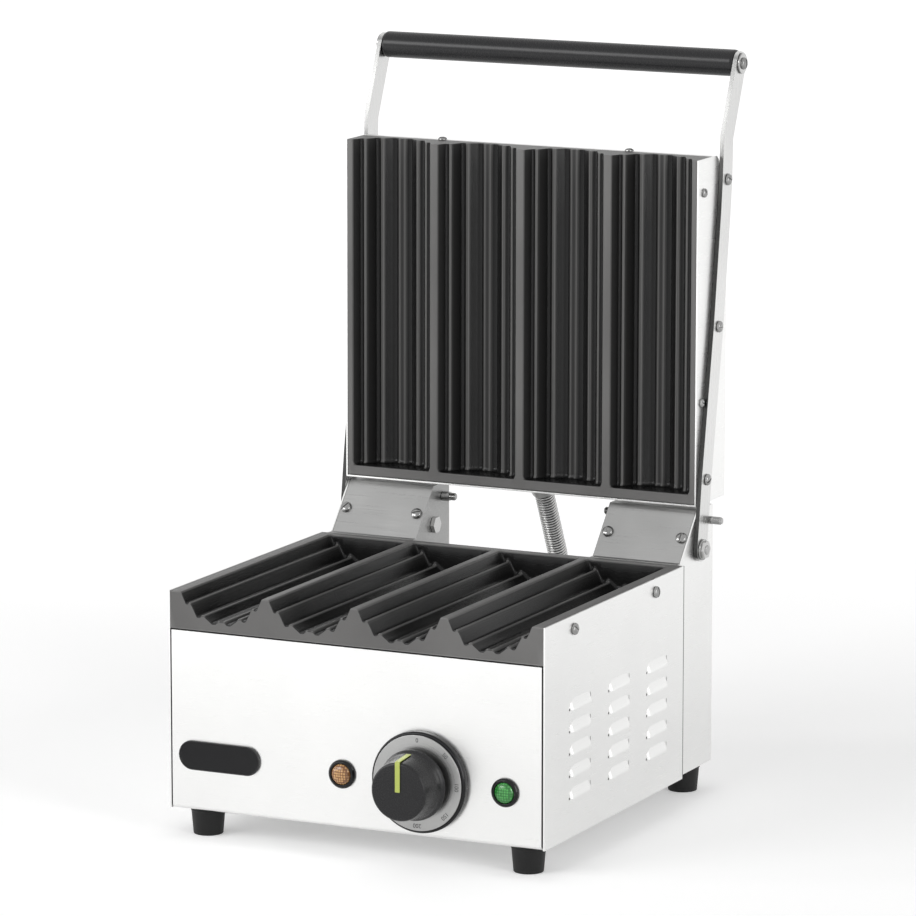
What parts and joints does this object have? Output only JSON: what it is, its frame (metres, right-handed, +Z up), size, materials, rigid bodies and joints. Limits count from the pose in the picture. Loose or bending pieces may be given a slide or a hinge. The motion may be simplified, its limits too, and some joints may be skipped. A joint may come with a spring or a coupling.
{
  "type": "contact grill",
  "caption": "Countertop contact grill with channelled cast plates, a hinged lid on two arms with a bar handle, a louvred steel casing and a thermostat knob.",
  "frame": {"origin": "centre of the footprint on the supporting surface, with the lid open", "axes": "+Z up, +X to the right seen from the front, +Y towards the back; the control panel faces -Y"},
  "size_m": [0.3154, 0.3944, 0.553],
  "materials": {
    "satin_steel": "satin stainless sheet",
    "tower_steel": "brushed stainless sheet",
    "plain_steel": "plain machined or folded steel",
    "spring_steel": "bright wound wire",
    "cast_plate": "dark grey non-stick coating on a casting",
    "black_plastic": "satin black moulding",
    "badge_black": "bare black plate",
    "dial_silver": "satin silver face with plain numbers",
    "pointer_lime": "lime inlay",
    "amber_lens": "clear amber moulding",
    "green_lens": "clear green moulding",
    "foot_rubber": "moulded rubber",
    "ceramic": "ceramic or heatproof moulding",
    "insulation": "mineral fibre blanket",
    "copper": "drawn copper",
    "element_steel": "heat-darkened sheath",
    "wire_cover": "heatproof wire covering"
  },
  "bodies": {
    "base": {"base_pan": "plain_steel", "front_panel": "satin_steel", "side_panel_left": "satin_steel", "side_panel_right": "satin_steel", "rear_housing": "satin_steel", "rear_deck": "plain_steel", "tower_cover_left": "tower_steel", "tower_cover_right": "tower_steel", "tower_screw_left_1": "plain_steel", "tower_screw_left_2": "plain_steel", "tower_screw_right_1": "plain_steel", "tower_screw_right_2": "plain_steel", "lower_plate": "cast_plate", "lower_element": "element_steel", "heat_shield": "plain_steel", "thermostat_body": "ceramic", "thermostat_bulb": "copper", "terminal_block": "ceramic", "cable_gland": "black_plastic", "dial_ring": "black_plastic", "dial_face": "dial_silver", "badge_plate": "badge_black", "lamp_bezel_amber": "black_plastic", "lamp_bezel_green": "black_plastic", "lamp_lens_amber": "amber_lens", "lamp_lens_green": "green_lens", "foot_front_left": "foot_rubber", "foot_front_right": "foot_rubber", "foot_rear_left": "foot_rubber", "foot_rear_right": "foot_rubber", "pivot_bolt_left": "plain_steel", "pivot_bolt_right": "plain_steel", "stop_rod_left": "plain_steel", "stop_rod_right": "plain_steel", "wire_guard": "spring_steel", "element_wires": "wire_cover", "guard_socket_base": "plain_steel"},
    "lid": {"lid_cover": "satin_steel", "upper_plate": "cast_plate", "upper_element": "element_steel", "lid_insulation": "insulation", "lid_arm_left": "satin_steel", "lid_arm_right": "satin_steel", "arm_screw_left_1": "plain_steel", "arm_screw_left_2": "plain_steel", "arm_screw_left_3": "plain_steel", "arm_screw_right_1": "plain_steel", "arm_screw_right_2": "plain_steel", "arm_screw_right_3": "plain_steel", "handle_screw_left": "plain_steel", "handle_screw_right": "plain_steel", "handle_grip": "black_plastic", "handle_rod": "plain_steel", "guard_socket_lid": "plain_steel"},
    "knob": {"thermostat_knob": "black_plastic", "knob_pointer": "pointer_lime", "thermostat_shaft": "plain_steel"}
  },
  "joints": [
    {"name": "lid_hinge", "type": "hinge", "parent": "base", "child": "lid", "pos_m": [0, 0.12118, 0.1875], "axis": [1, 0, 0], "range_deg": [0, 90.2], "deforming": ["wire_guard", "element_wires"]},
    {"name": "knob_turn", "type": "hinge", "parent": "base", "child": "knob", "pos_m": [0.0534, -0.175, 0.0618], "axis": [0, 1, 0], "range_deg": [0, 270]}
  ]
}
